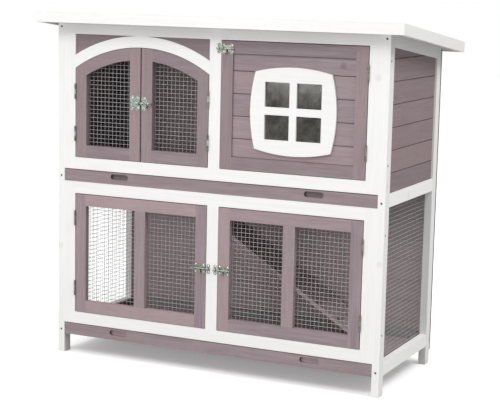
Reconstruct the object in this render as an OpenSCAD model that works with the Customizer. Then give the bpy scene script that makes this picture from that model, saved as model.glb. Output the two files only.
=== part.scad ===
// Two-storey wooden rabbit hutch: framed body on four legs, mesh doors, window door,
// two pull-out trays, ramp between the floors and a sloping roof.
// Frame: X left to right, Y front to back, Z up. Origin under the middle of the roof, on the ground.

/* [Body] */
// Width over the outer faces of the legs
body_w = 1060; // [900:1:1300]
// Depth from the front faces to the back faces of the legs
body_d = 448; // [380:1:600]
// Leg width across the front
leg_w = 22; // [18:1:40]
// Leg depth front to back
leg_d = 34; // [20:1:50]
// Clear height under the lower tray
foot_h = 58; // [30:0.5:120]

/* [Front panels] */
// Height of each tray gap
tray_gap = 38.5; // [30:0.5:70]
// Height of the horizontal rails
rail_h = 36; // [25:0.5:50]
// Height of the lower doorways
lower_open_h = 370; // [250:1:450]
// Height of the upper doorways
upper_open_h = 372; // [250:1:450]
// Height of the top front rail at its front face
top_rail_h = 33.5; // [25:0.5:50]
// Width of the outer stiles
stile_w = 38; // [25:0.5:60]
// Width of the centre stile
mid_stile_w = 37; // [25:0.5:60]
// Thickness of the front panels and the doors
panel_t = 16; // [12:0.5:22]

/* [Doors] */
// Width of the door stiles and rails
door_bar = 36; // [25:0.5:45]
// Gap round a door
door_gap = 1.5; // [1:0.1:3]
// Gap between the two arched doors
leaf_gap = 4; // [2:0.1:6]
// Radius of the top edge of the arch board
arch_r = 438; // [350:1:600]
// Width of the arch board
arch_w = 33; // [20:1:50]
// Half width of the window opening
win_hx = 87; // [60:1:120]
// Half height of the window opening
win_hz = 82; // [60:1:110]
// Width of the window bars
muntin_w = 22; // [12:0.5:30]

/* [Cladding and mesh] */
// Height of one cladding board
board_pitch = 63.5; // [50:0.5:100]
// Thickness of the cladding boards
board_t = 10; // [7:0.5:16]
// Setback of the cladding from the outer face
board_in = 6; // [2:0.5:10]
// Pitch of the drawn mesh wires, two cells of the welded mesh
mesh_pitch = 25.4; // [12.7:0.1:50.8]
// Thickness of the mesh wires
wire_d = 1.2; // [0.8:0.1:2]

/* [Trays and ramp] */
// Width of a hand slot
slot_w = 60; // [50:1:120]
// Height of a hand slot
slot_h = 17; // [14:1:30]
// Distance of a hand slot from the middle
slot_x = 316; // [200:1:400]
// Thickness of the tray floor
floor_t = 4; // [3:0.5:9]
// Thickness of the tray walls
wall_t = 9; // [6:0.5:14]
// Width of the ramp
ramp_w = 142; // [120:1:160]
// Thickness of the ramp
ramp_t = 11; // [8:0.5:16]

/* [Roof] */
// Roof overhang at each side
roof_side = 52; // [20:1:100]
// Roof overhang at the front
roof_front = 44; // [20:1:100]
// Roof overhang at the back
roof_back = 62; // [20:1:100]
// Fall of the roof over each millimetre of depth
roof_fall = 0.1164; // [0.05:0.0001:0.2]
// Height of the fascia boards
fascia_h = 31.5; // [25:0.5:60]
// Thickness of the fascia boards
fascia_t = 16; // [10:0.5:22]

/* [Hidden] */

white = [0.90, 0.90, 0.87];
mauve = [0.47, 0.39, 0.39];
zinc = [0.68, 0.70, 0.66];
grey = [0.30, 0.31, 0.33];
eps = 0.01;
seam = 0.05;
fine = 0.3;

y_f = -(roof_front + body_d + roof_back) / 2 + roof_front;
y_b = y_f + body_d;
back_t = 9;
x_o = body_w / 2;
x_i = x_o - leg_w;
x_s = x_i - stile_w;
x_m = mid_stile_w / 2;
z_lp = foot_h + tray_gap;
z_lo = z_lp + rail_h;
z_lt = z_lo + lower_open_h;
z_mt = z_lt + rail_h;
z_up = z_mt + tray_gap;
z_uo = z_up + rail_h;
z_ut = z_uo + upper_open_h;
z_roof = z_ut + top_rail_h;

arch_in_r = arch_r - arch_w;
arch_zc = z_ut - arch_r;
door_arch_r = arch_in_r - door_gap;
hinge_gap = 2.2;
leaf_half = leaf_gap / 2;
arch_mid = -(x_s + x_m) / 2;
hinge_y = y_f - 3.2;
knuckle_r = 2.8;
pin_r = 1.4;
bore_r = 1.45;
hinge_h = 46;
hinge_part = hinge_h / 3;
leaf_t = 0.8;
leaf_deep = 14;
bar_r = 2.5;
bar_y = y_f - 5;
arch_hinge_z = [813, 685];
window_hinge_z = [909, 690];
lower_hinge_z = [426, 208.5];
window_bolt_z = 960.5;
lower_bolt_z = 314.5;
arch_bolt_z = 788;
plate_t = 1.2;
bolt_w = 36;
bolt_h = 30;
lobe_r = 5;
loop_w = 5;
loop_r = bar_r + 0.08;
keep_x = 11;
keep_w = 9;
keep_r = bar_r + 0.4;
latch_w = 32;
latch_h = 44;
latch_lobe_r = 7;
mesh_y = y_f + panel_t + fine;
tray_side = x_i - 3;
tray_front_y = y_f + 1;
tray_front_t = 10;
tray_back_y = y_b - 22;
rear_t = 18;
rear_y = y_b - rear_t;
bearer_w = 20;
bearer_h = 20;
runner_h = 12;
pan_y = tray_front_y + tray_front_t;
lower_floor_z = foot_h + runner_h + 0.4;
hatch_x0 = -352;
hatch_x1 = -120;
ramp_y0 = y_f + 283;
ramp_y1 = ramp_y0 + ramp_w;
ramp_tilt = 32.5;
ramp_x = hatch_x0 + 8;
ramp_z = z_mt - 6.9;
ramp_under = -4;
ramp_first = 6;
ramp_foot_z = lower_floor_z + floor_t + 0.5;
ramp_len = (ramp_z + ramp_under * cos(ramp_tilt) - ramp_foot_z) / sin(ramp_tilt);
rod_r = 3;
roof_x = x_o + roof_side - fascia_t;
roof_y0 = y_f - roof_front + fascia_t;
roof_y1 = y_b + roof_back - fascia_t;
fascia_low = -5;
deck_low = 10;
felt_low = 19;
felt_t = 2;

// Height of the roof underside over a given depth
function roof_u(y) = z_roof - roof_fall * (y - y_f);

// Block between two corners
module block(x0, x1, y0, y1, z0, z1) {
    translate([x0, y0, z0])
        cube([x1 - x0, y1 - y0, z1 - z0]);
}

// Side profile in Y and Z, drawn out along X
module side_profile(x0, x1, pts) {
    translate([x0, 0, 0])
        rotate([90, 0, 90])
            linear_extrude(x1 - x0)
                polygon(pts);
}

// Front profile in X and Z, drawn out along Y
module front_profile(y0, t) {
    translate([0, y0 + t, 0])
        rotate([90, 0, 0])
            linear_extrude(t)
                children();
}

// Post or rail whose top follows the roof
module under_roof(x0, x1, y0, y1, z0) {
    side_profile(x0, x1, [[y0, z0], [y1, z0], [y1, roof_u(y1)], [y0, roof_u(y0)]]);
}

// Strip that lies parallel to the roof, from one height over its underside to another
module roof_strip(x0, x1, y0, y1, h0, h1) {
    side_profile(x0, x1, [[y0, roof_u(y0) + h0], [y1, roof_u(y1) + h0],
        [y1, roof_u(y1) + h1], [y0, roof_u(y0) + h1]]);
}

// Flat mesh in X and Z or Y and Z, as a grid with square holes
module grid(w, h) {
    nx = floor((w - wire_d) / mesh_pitch);
    nz = floor((h - wire_d) / mesh_pitch);
    ax = (w - nx * mesh_pitch - wire_d) / 2;
    az = (h - nz * mesh_pitch - wire_d) / 2;
    difference() {
        square([w, h]);
        for (i = [0 : nx - 1])
            for (j = [0 : nz - 1])
                translate([ax + i * mesh_pitch + wire_d, az + j * mesh_pitch + wire_d])
                    square(mesh_pitch - wire_d);
        if (ax > wire_d)
            for (j = [0 : nz - 1])
                for (x = [wire_d, w - ax])
                    translate([x, az + j * mesh_pitch + wire_d])
                        square([ax - wire_d, mesh_pitch - wire_d]);
    }
}

// ---- Body ----

module leg(x0, y0) {
    color(white)
        under_roof(x0, x0 + leg_w, y0, y0 + leg_d, 0);
}

module leg_front_left() { leg(-x_o, y_f); }
module leg_front_right() { leg(x_i, y_f); }
module leg_rear_left() { leg(-x_o, y_b - leg_d); }
module leg_rear_right() { leg(x_i, y_b - leg_d); }

module side_rails(x0) {
    y0 = y_f + leg_d;
    y1 = y_b - leg_d;
    color(white) {
        block(x0, x0 + leg_w, y0, y1, foot_h, foot_h + rail_h);
        block(x0, x0 + leg_w, y0, y1, z_mt + 1, z_up - 1);
        roof_strip(x0, x0 + leg_w, y0, y1, -top_rail_h + 1, 0);
    }
}

module side_rails_left() { side_rails(-x_o); }
module side_rails_right() { side_rails(x_i); }

// Grooved boards laid one on another under the sloping top rail
module side_boards(x0) {
    y0 = y_f + leg_d;
    y1 = y_b - leg_d;
    z0 = z_up - 1;
    first = board_pitch - 7.5;
    v = 2;
    count = 7;
    h = -top_rail_h + 1 - seam;
    color(mauve)
        intersection() {
            for (i = [0 : count - 1]) {
                za = i == 0 ? z0 : z0 + first + (i - 1) * board_pitch;
                zb = z0 + first + i * board_pitch;
                one_board(x0, y0, y1, za, zb, v);
            }
            side_profile(x0 - 1, x0 + board_t + 1, [[y0, 0], [y1, 0],
                [y1, roof_u(y1) + h], [y0, roof_u(y0) + h]]);
        }
}

// Board with a small chamfer on both long edges of each face
module one_board(x0, y0, y1, za, zb, v) {
    translate([0, y1, 0])
        rotate([90, 0, 0])
            linear_extrude(y1 - y0)
                polygon([[x0, za + v], [x0 + v, za], [x0 + board_t - v, za], [x0 + board_t, za + v],
                    [x0 + board_t, zb - v - 0.1], [x0 + board_t - v, zb - 0.1],
                    [x0 + v, zb - 0.1], [x0, zb - v - 0.1]]);
}

module side_boards_left() { side_boards(-x_o + board_in); }
module side_boards_right() { side_boards(x_o - board_in - board_t); }

module side_mesh(x0) {
    y0 = y_f + leg_d - 12;
    y1 = y_b - leg_d + 12;
    z0 = foot_h + rail_h - 14;
    z1 = z_mt + 14;
    color(zinc)
        translate([x0, y0, z0])
            rotate([90, 0, 90])
                linear_extrude(wire_d)
                    grid(y1 - y0, z1 - z0);
}

module side_mesh_left() { side_mesh(-x_i + fine); }
module side_mesh_right() { side_mesh(x_i - fine - wire_d); }

// ---- Front panels ----

module upper_stiles() {
    color(white)
        for (x0 = [-x_i, x_s])
            under_roof(x0, x0 + stile_w, y_f, y_f + panel_t, z_up);
}

module upper_rails() {
    color(white) {
        block(-x_s, x_s, y_f, y_f + panel_t, z_up, z_uo);
        under_roof(-x_s, x_s, y_f, y_f + panel_t, z_ut);
    }
}

module lower_stiles() {
    color(white)
        for (x0 = [-x_i, x_s])
            block(x0, x0 + stile_w, y_f, y_f + panel_t, z_lp, z_mt);
}

module lower_rails() {
    color(white)
        for (z0 = [z_lp, z_lt])
            block(-x_s, x_s, y_f, y_f + panel_t, z0, z0 + rail_h);
}

module mid_stiles() {
    color(white) {
        block(-x_m, x_m, y_f, y_f + panel_t, z_uo, z_ut);
        block(-x_m, x_m, y_f, y_f + panel_t, z_lo, z_lt);
    }
}

module arch_disc(r) {
    translate([arch_mid, arch_zc])
        circle(r, $fn = 256);
}

module bay_above(z0) {
    translate([-x_s, z0])
        square([x_s - x_m, z_ut - z0]);
}

module arch_board() {
    color(white)
        front_profile(y_f, panel_t)
            difference() {
                intersection() {
                    arch_disc(arch_r);
                    bay_above(z_uo + 10);
                }
                arch_disc(arch_in_r);
            }
}

module spandrels() {
    color(mauve)
        front_profile(y_f + 4, 9)
            difference() {
                bay_above(z_ut - 90);
                arch_disc(arch_r + 0.05);
                translate([arch_mid - 12, z_ut - 20])
                    square([24, 30]);
            }
}

// ---- Back, floor supports and partition ----

module back_panel() {
    color(mauve)
        under_roof(-x_o, x_o, y_b, y_b + back_t, foot_h + 2);
}

// Battens across the back, and the strip under the back panel
module rear_rails() {
    color(white) {
        block(-x_i, x_i, rear_y, y_b, foot_h, foot_h + rail_h);
        block(-x_i, x_i, rear_y, y_b, z_lt, z_mt);
        under_roof(-x_i, x_i, rear_y, y_b, roof_u(y_b) - rail_h);
        block(-x_o, x_o, y_b, y_b + back_t, foot_h - 18, foot_h + 2 - seam);
    }
}

// Wall between the nest box and the open bay, with an arched doorway
module partition() {
    half_t = 4.5;
    door_y = y_f + 290;
    door_r = 85;
    door_top = z_up + 190;
    color(mauve)
        difference() {
            under_roof(-half_t, half_t, y_f + panel_t, rear_y, z_up + 1);
            block(-half_t - 1, half_t + 1, door_y - door_r, door_y + door_r, z_up, door_top);
            translate([-half_t - 1, door_y, door_top])
                rotate([0, 90, 0])
                    cylinder(r = door_r, h = 2 * half_t + 2, $fn = 96);
        }
}

// Bearers that carry the upper tray
module floor_bearers() {
    color(mauve)
        for (x0 = [-480, hatch_x0 - bearer_w, hatch_x1, 150, 460])
            block(x0, x0 + bearer_w, y_f + panel_t, rear_y, z_mt - bearer_h, z_mt);
}

// Runners that carry the lower tray
module tray_runners() {
    runner_w = 16;
    color(mauve)
        for (x0 = [-x_i, x_i - runner_w])
            block(x0, x0 + runner_w, y_f + 22, rear_y, foot_h, foot_h + runner_h);
}

// ---- Roof ----

module roof_rafters() {
    color(white)
        for (x0 = [-x_o, -leg_w / 2, x_i])
            roof_strip(x0, x0 + leg_w, roof_y0, roof_y1, seam, deck_low - seam);
}

module roof_deck() {
    color(mauve)
        roof_strip(-roof_x, roof_x, roof_y0, roof_y1, deck_low, felt_low - seam);
}

module roof_felt() {
    color(grey)
        roof_strip(-roof_x, roof_x, roof_y0, roof_y1, felt_low, felt_low + felt_t);
}

module fascia_front() {
    color(white)
        roof_strip(-x_o - roof_side, x_o + roof_side,
            y_f - roof_front, roof_y0 - seam, fascia_low, fascia_low + fascia_h);
}

module fascia_back() {
    color(white)
        roof_strip(-roof_x, roof_x, roof_y1 + seam, y_b + roof_back,
            fascia_low, fascia_low + fascia_h);
}

module fascia_sides() {
    color(white)
        for (x0 = [-x_o - roof_side, roof_x + seam])
            roof_strip(x0, x0 + fascia_t - seam,
                roof_y0, y_b + roof_back, fascia_low, fascia_low + fascia_h);
}

// ---- Hinges, bolts and screws ----

// Knuckle round the upright pin axis
module knuckle(x0, z0, z1) {
    translate([x0, hinge_y, z0])
        cylinder(r = knuckle_r, h = z1 - z0, $fn = 48);
}

// Frame half of a hinge: s is 1 where the door hangs on the right of it
module hinge_fixed(x0, zc, s) {
    h = hinge_h / 2;
    m = hinge_part / 2;
    xa = s > 0 ? x0 - hinge_gap / 2 : x0 + hinge_gap / 2 - leaf_t;
    block(xa, xa + leaf_t, y_f + fine / 2, y_f + leaf_deep, zc - h, zc + h);
    for (z0 = [zc - h, zc + m + 0.2]) {
        knuckle(x0, z0, z0 + h - m - 0.2);
        block(xa, xa + leaf_t, hinge_y, y_f + fine, z0, z0 + h - m - 0.2);
    }
    translate([x0, hinge_y, zc - h])
        cylinder(r = pin_r, h = hinge_h, $fn = 32);
}

// Door half of a hinge
module hinge_moving(x0, zc, s) {
    h = hinge_h / 2;
    m = hinge_part / 2;
    xa = s > 0 ? x0 + hinge_gap / 2 - leaf_t : x0 - hinge_gap / 2;
    block(xa, xa + leaf_t, y_f + fine / 2, y_f + leaf_deep, zc - h, zc + h);
    difference() {
        union() {
            knuckle(x0, zc - m + 0.2, zc + m - 0.2);
            block(xa, xa + leaf_t, hinge_y, y_f + fine, zc - m + 0.2, zc + m - 0.2);
        }
        translate([x0, hinge_y, zc - h])
            cylinder(r = bore_r, h = hinge_h, $fn = 32);
    }
}

hinge_l = -x_s + hinge_gap / 2;
hinge_r = x_s - hinge_gap / 2;
hinge_m = -x_m - hinge_gap / 2;

module frame_hinges() {
    color(zinc) {
        for (z = arch_hinge_z) {
            hinge_fixed(hinge_l, z, 1);
            hinge_fixed(hinge_m, z, -1);
        }
        for (z = window_hinge_z)
            hinge_fixed(hinge_r, z, -1);
        for (z = lower_hinge_z) {
            hinge_fixed(hinge_l, z, 1);
            hinge_fixed(hinge_r, z, -1);
        }
    }
}

// Row of round lobes, a width and a height apart, round the middle
module lobes(w, h, r) {
    for (x = [-w / 2, w / 2])
        for (z = [-h / 2, h / 2])
            translate([x, z])
                circle(r, $fn = 48);
}

// Thin plate on the front face, drawn round its own middle
module face_plate(xc, zc) {
    front_profile(y_f - plate_t, plate_t)
        translate([xc, zc])
            children();
}

// Block round the sliding bar, with the hole it slides in
module bar_loop(x0, x1, zc, r) {
    difference() {
        union() {
            block(x0, x1, bar_y, y_f - plate_t + eps, zc - 4, zc + 4);
            translate([x0, bar_y, zc])
                rotate([0, 90, 0])
                    cylinder(r = 4, h = x1 - x0, $fn = 48);
        }
        translate([x0 - 1, bar_y, zc])
            rotate([0, 90, 0])
                cylinder(r = r, h = x1 - x0 + 2, $fn = 48);
    }
}

// Plate with a screw lobe at each corner and two loops; s is 1 where the bar shoots to the right
module bolt_plate(x_near, zc, s) {
    face_plate(x_near - s * bolt_w / 2, zc) {
        square([bolt_w, bolt_h - 2 * lobe_r], center = true);
        lobes(bolt_w - 2 * lobe_r, bolt_h - 2 * lobe_r, lobe_r);
    }
    for (d = [2, bolt_w - 2 - loop_w]) {
        xa = x_near - s * d;
        xb = x_near - s * (d + loop_w);
        bar_loop(min(xa, xb), max(xa, xb), zc, loop_r);
    }
}

// Keep that takes the end of the bar, with a screw lobe above and below
module bolt_keep(xc, zc) {
    face_plate(xc, zc) {
        square([keep_w - 2, bolt_h - 2 * lobe_r], center = true);
        lobes(0, bolt_h - 2 * lobe_r, lobe_r);
    }
    bar_loop(xc - keep_w / 2, xc + keep_w / 2, zc, keep_r);
}

// Bar with a thumb knob that hangs below it
module bolt_bar(x_tip, zc, s, len, knob) {
    xa = min(x_tip, x_tip - s * len);
    translate([xa, bar_y, zc])
        rotate([0, 90, 0])
            cylinder(r = bar_r, h = len, $fn = 48);
    translate([x_tip - s * knob, bar_y, zc - 9])
        cylinder(r = 1.8, h = 9, $fn = 32);
    translate([x_tip - s * knob, bar_y, zc - 11])
        sphere(r = 3, $fn = 32);
}

module bolt_keeps() {
    color(zinc) {
        bolt_keep(keep_x, window_bolt_z);
        for (s = [-1, 1])
            bolt_keep(s * keep_x, lower_bolt_z);
    }
}

module screw_head(d) {
    cylinder(r1 = d / 2, r2 = d / 2 - 1, h = 1, $fn = 24);
}

module frame_screws() {
    color(zinc) {
        for (x = [-x_o + leg_w / 2, x_o - leg_w / 2])
            for (z = [z_roof - 13, z_mt + 15, foot_h + 14])
                translate([x, y_f, z])
                    rotate([90, 0, 0])
                        screw_head(8);
        for (s = [-1, 1])
            for (z = [945, 658, 463, 179])
                translate([s * x_o, y_f + panel_t / 2 + 3, z])
                    rotate([0, s * 90, 0])
                        screw_head(8);
    }
}

// ---- Ramp ----

// Rod that the ramp hangs on, between two blocks on the bearer
module ramp_rod() {
    block_w = 6;
    color(zinc) {
        translate([ramp_x, ramp_y0 + block_w, ramp_z])
            rotate([-90, 0, 0])
                cylinder(r = rod_r, h = ramp_w - 2 * block_w, $fn = 48);
        for (y = [ramp_y0 + block_w, ramp_y1 - 2 * block_w])
            block(hatch_x0, ramp_x + 1, y, y + block_w, ramp_z - 6, ramp_z + 6);
    }
}

// Frame of the ramp: X runs down the slope from the rod
module on_ramp() {
    translate([ramp_x, 0, ramp_z])
        rotate([0, ramp_tilt, 0])
            children();
}

module ramp_board() {
    color(mauve)
        on_ramp()
            block(ramp_first, ramp_len, ramp_y0, ramp_y1, ramp_under, ramp_under + ramp_t);
}

// Cleats across the ramp
module ramp_treads() {
    first = 60;
    step = 85;
    count = 9;
    tread_w = 10;
    tread_h = 6;
    color(mauve)
        on_ramp()
            for (i = [0 : count - 1])
                block(first + i * step, first + i * step + tread_w, ramp_y0 + 6, ramp_y1 - 6,
                    ramp_under + ramp_t, ramp_under + ramp_t + tread_h);
}

// Straps under the ramp, with eyes round the rod
module ramp_brackets() {
    eye_r = 5.5;
    strap_w = 6;
    color(zinc)
        on_ramp()
            for (y = [ramp_y0 + 16, ramp_y1 - 16 - strap_w])
                difference() {
                    union() {
                        translate([0, y, 0])
                            rotate([-90, 0, 0])
                                cylinder(r = eye_r, h = strap_w, $fn = 48);
                        block(0, 40, y, y + strap_w, ramp_under - 3, ramp_under);
                    }
                    translate([0, y - 1, 0])
                        rotate([-90, 0, 0])
                            cylinder(r = rod_r + 0.06, h = strap_w + 2, $fn = 48);
                }
}

// ---- Doors ----

// Leaf outline under the arch, between two upright lines
module arch_leaf(xa, xb, r, z0) {
    intersection() {
        translate([xa, z0])
            square([xb - xa, z_ut - z0]);
        arch_disc(r);
    }
}

module arch_frame(xa, xb) {
    z0 = z_uo + door_gap;
    color(mauve)
        front_profile(y_f, panel_t) {
            arch_leaf(xa, xa + door_bar, door_arch_r, z0);
            arch_leaf(xb - door_bar, xb, door_arch_r, z0);
            translate([xa + door_bar + seam, z0])
                square([xb - xa - 2 * door_bar - 2 * seam, door_bar]);
            difference() {
                arch_leaf(xa + door_bar + seam, xb - door_bar - seam, door_arch_r, z0 + 200);
                arch_disc(door_arch_r - door_bar);
            }
        }
}

module arch_mesh(xa, xb) {
    color(zinc)
        front_profile(mesh_y, wire_d)
            intersection() {
                translate([xa + 20, z_uo + 20])
                    grid(xb - xa - 40, z_ut - z_uo - 40);
                arch_disc(door_arch_r - 14);
            }
}

al_a = -x_s + hinge_gap;
al_b = arch_mid - leaf_half;
ar_a = arch_mid + leaf_half;
ar_b = -x_m - hinge_gap;

module arch_left_frame() { arch_frame(al_a, al_b); }
module arch_left_mesh() { arch_mesh(al_a, al_b); }
module arch_right_frame() { arch_frame(ar_a, ar_b); }
module arch_right_mesh() { arch_mesh(ar_a, ar_b); }

// Big latch: keep plate with four lobes
module latch_keep_plate() {
    face_plate(al_b - 1 - latch_w / 2, arch_bolt_z) {
        square([latch_w, latch_h - 2 * latch_lobe_r], center = true);
        lobes(latch_w - 2 * latch_lobe_r, latch_h - 2 * latch_lobe_r, latch_lobe_r);
    }
}

// Big latch: bar plate with a lobe above, below and behind the bar
module latch_bar_plate() {
    end_r = 6.5;
    body = latch_w - 2 * end_r;
    face_plate(ar_a + 1 + latch_w / 2, arch_bolt_z) {
        translate([-end_r, 0])
            square([body, latch_h - 2 * latch_lobe_r], center = true);
        translate([-latch_lobe_r + 1, 0])
            lobes(0, latch_h - 2 * latch_lobe_r, latch_lobe_r);
        translate([latch_w / 2 - end_r, 0])
            circle(end_r, $fn = 48);
    }
}

module arch_left_metal() {
    color(zinc) {
        for (z = arch_hinge_z)
            hinge_moving(hinge_l, z, 1);
        latch_keep_plate();
        bar_loop(al_b - 13, al_b - 2, arch_bolt_z, keep_r);
    }
}

module arch_right_metal() {
    color(zinc) {
        for (z = arch_hinge_z)
            hinge_moving(hinge_m, z, -1);
        latch_bar_plate();
        for (x0 = [ar_a + 2, ar_a + 24])
            bar_loop(x0, x0 + loop_w, arch_bolt_z, loop_r);
    }
}

module arch_bolt() {
    color(zinc)
        bolt_bar(ar_a - 1, arch_bolt_z, -1, 37, 20);
}

wd_a = x_m + door_gap;
wd_b = x_s - hinge_gap;
wd_z0 = z_uo + door_gap;
wd_z1 = z_ut - door_gap;

module door_frame(xa, xb, z0, z1) {
    for (x0 = [xa, xb - door_bar])
        block(x0, x0 + door_bar, y_f, y_f + panel_t, z0, z1);
    for (za = [z0, z1 - door_bar])
        block(xa + door_bar + seam, xb - door_bar - seam, y_f, y_f + panel_t, za, za + door_bar);
}

module window_door_frame() {
    color(mauve)
        door_frame(wd_a, wd_b, wd_z0, wd_z1);
}

win_x = 246;
win_z = 790;

// Boards inside the door frame, cut out behind the window
module window_door_boards() {
    xa = wd_a + door_bar;
    xb = wd_b - door_bar;
    za = wd_z0 + door_bar;
    zb = wd_z1 - door_bar;
    joints = [za, 704, 769, 833, 898, zb];
    v = 1.5;
    y0 = y_f + 5;
    t = 10;
    color(mauve)
        for (i = [0 : 4])
            difference() {
                translate([xa, 0, 0])
                    rotate([90, 0, 90])
                        linear_extrude(xb - xa)
                            polygon([[y0 + v, joints[i]], [y0 + t, joints[i]],
                                [y0 + t, joints[i + 1] - 0.1], [y0 + v, joints[i + 1] - 0.1],
                                [y0, joints[i + 1] - 0.1 - v], [y0, joints[i] + v]]);
                block(win_x - win_hx - 4, win_x + win_hx + 4, y_f, y_f + 30,
                    win_z - win_hz - 4, win_z + win_hz + 4);
            }
}

// Barrel-shaped outline: four sides that bulge outwards
module barrel(hx, hz, bulge) {
    rx = (hx * hx + bulge * bulge) / (2 * bulge);
    rz = (hz * hz + bulge * bulge) / (2 * bulge);
    intersection() {
        translate([0, hz + bulge - rx])
            circle(rx, $fn = 360);
        translate([0, -hz - bulge + rx])
            circle(rx, $fn = 360);
        translate([hx + bulge - rz, 0])
            circle(rz, $fn = 360);
        translate([-hx - bulge + rz, 0])
            circle(rz, $fn = 360);
    }
}

module window_surround() {
    color(white)
        front_profile(y_f - 2, 7)
            translate([win_x, win_z])
                difference() {
                    barrel(117, 110, 15);
                    for (sx = [-1, 1])
                        for (sz = [-1, 1])
                            translate([sx * (win_hx + muntin_w / 2) / 2, sz * (win_hz + muntin_w / 2) / 2])
                                square([win_hx - muntin_w / 2, win_hz - muntin_w / 2], center = true);
                }
}

module window_pane() {
    color([0.2, 0.24, 0.26, 0.6])
        block(win_x - win_hx - 3, win_x + win_hx + 3, y_f + 5, y_f + 7.5,
            win_z - win_hz - 3, win_z + win_hz + 3);
}

module window_door_metal() {
    color(zinc) {
        for (z = window_hinge_z)
            hinge_moving(hinge_r, z, -1);
        bolt_plate(wd_a + 1, window_bolt_z, -1);
    }
}

module window_bolt() {
    color(zinc)
        bolt_bar(17.2, window_bolt_z, -1, 43, 19);
}

ld_z0 = z_lo + door_gap;
ld_z1 = z_lt - door_gap;
ll_a = -x_s + hinge_gap;
ll_b = -x_m - door_gap;
lr_a = x_m + door_gap;
lr_b = x_s - hinge_gap;

module lower_door(xa, xb) {
    color(mauve) {
        door_frame(xa, xb, ld_z0, ld_z1);
        block((xa + xb) / 2 - door_bar / 2, (xa + xb) / 2 + door_bar / 2, y_f, y_f + panel_t,
            ld_z0 + door_bar + seam, ld_z1 - door_bar - seam);
    }
}

module lower_mesh(xa, xb) {
    color(zinc)
        front_profile(mesh_y, wire_d)
            translate([xa + 18, ld_z0 + 18])
                grid(xb - xa - 36, ld_z1 - ld_z0 - 36);
}

module lower_left_frame() { lower_door(ll_a, ll_b); }
module lower_left_mesh() { lower_mesh(ll_a, ll_b); }
module lower_right_frame() { lower_door(lr_a, lr_b); }
module lower_right_mesh() { lower_mesh(lr_a, lr_b); }

module lower_left_metal() {
    color(zinc) {
        for (z = lower_hinge_z)
            hinge_moving(hinge_l, z, 1);
        bolt_plate(ll_b - 1, lower_bolt_z, 1);
    }
}

module lower_left_bolt() {
    color(zinc)
        bolt_bar(-17.7, lower_bolt_z, 1, 50, 19);
}

module lower_right_metal() {
    color(zinc) {
        for (z = lower_hinge_z)
            hinge_moving(hinge_r, z, -1);
        bolt_plate(lr_a + 1, lower_bolt_z, -1);
    }
}

module lower_right_bolt() {
    color(zinc)
        bolt_bar(17.7, lower_bolt_z, -1, 43, 19);
}

// ---- Trays ----

// Front board with two hand slots cut through it
module tray_front(z0) {
    zs = z0 + tray_gap / 2 + 3.5;
    color(mauve)
        front_profile(tray_front_y, tray_front_t)
            difference() {
                translate([-x_i + 0.8, z0 + 0.5])
                    square([2 * x_i - 1.6, tray_gap - 2]);
                for (s = [-1, 1]) {
                    translate([s * slot_x, zs])
                        square([slot_w - slot_h, slot_h], center = true);
                    for (d = [-1, 1])
                        translate([s * slot_x + d * (slot_w - slot_h) / 2, zs])
                            circle(slot_h / 2, $fn = 48);
                }
            }
}

module upper_tray_front() { tray_front(z_mt); }
module lower_tray_front() { tray_front(foot_h); }

// Upper tray: floor with a notch over the ramp, a wall behind the front board and low walls round the rest
module upper_tray_pan() {
    z0 = z_mt + 0.4;
    zw = z0 + floor_t + seam;
    wall_z = z_up - 4;
    hatch_y = ramp_y0 - 6;
    y1 = tray_back_y - wall_t;
    color(mauve) {
        difference() {
            block(-tray_side, tray_side, pan_y, tray_back_y, z0, z0 + floor_t);
            block(hatch_x0, hatch_x1, hatch_y, tray_back_y + 1, z0 - 1, z0 + floor_t + 1);
        }
        block(-tray_side, tray_side, pan_y, pan_y + wall_t, zw, wall_z);
        for (x0 = [-tray_side, tray_side - wall_t])
            block(x0, x0 + wall_t, pan_y + wall_t + seam, tray_back_y, zw, wall_z);
        for (x0 = [hatch_x0 - wall_t, hatch_x1])
            block(x0, x0 + wall_t, hatch_y + seam, tray_back_y, zw, wall_z);
        block(hatch_x0 - wall_t, hatch_x1 + wall_t, hatch_y - wall_t, hatch_y, zw, wall_z);
        block(-tray_side + wall_t + seam, hatch_x0 - wall_t - seam, y1, tray_back_y, zw, wall_z);
        block(hatch_x1 + wall_t + seam, tray_side - wall_t - seam, y1, tray_back_y, zw, wall_z);
    }
}

// Lower tray: floor, front wall, two side walls and a rib under the middle
module lower_tray_pan() {
    z0 = lower_floor_z;
    zw = z0 + floor_t + seam;
    wall_z = z_lp - 2;
    rib_hw = 10;
    rib_h = 9;
    color(mauve) {
        block(-tray_side, tray_side, pan_y, tray_back_y, z0, z0 + floor_t);
        block(-tray_side, tray_side, pan_y, pan_y + wall_t, zw, wall_z);
        for (x0 = [-tray_side, tray_side - wall_t])
            block(x0, x0 + wall_t, pan_y + wall_t + seam, tray_back_y, zw, wall_z);
        block(-rib_hw, rib_hw, pan_y, tray_back_y, z0 - rib_h, z0 - seam);
    }
}

leg_front_left();
leg_front_right();
leg_rear_left();
leg_rear_right();
side_rails_left();
side_rails_right();
side_boards_left();
side_boards_right();
side_mesh_left();
side_mesh_right();
upper_stiles();
upper_rails();
lower_stiles();
lower_rails();
mid_stiles();
arch_board();
spandrels();
back_panel();
rear_rails();
partition();
floor_bearers();
tray_runners();
roof_rafters();
roof_deck();
roof_felt();
fascia_front();
fascia_back();
fascia_sides();
frame_hinges();
bolt_keeps();
frame_screws();
ramp_rod();
arch_left_frame();
arch_left_mesh();
arch_left_metal();
arch_right_frame();
arch_right_mesh();
arch_right_metal();
arch_bolt();
window_door_frame();
window_door_boards();
window_surround();
window_pane();
window_door_metal();
window_bolt();
lower_left_frame();
lower_left_mesh();
lower_left_metal();
lower_left_bolt();
lower_right_frame();
lower_right_mesh();
lower_right_metal();
lower_right_bolt();
upper_tray_front();
upper_tray_pan();
lower_tray_front();
lower_tray_pan();
ramp_board();
ramp_treads();
ramp_brackets();
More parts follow.
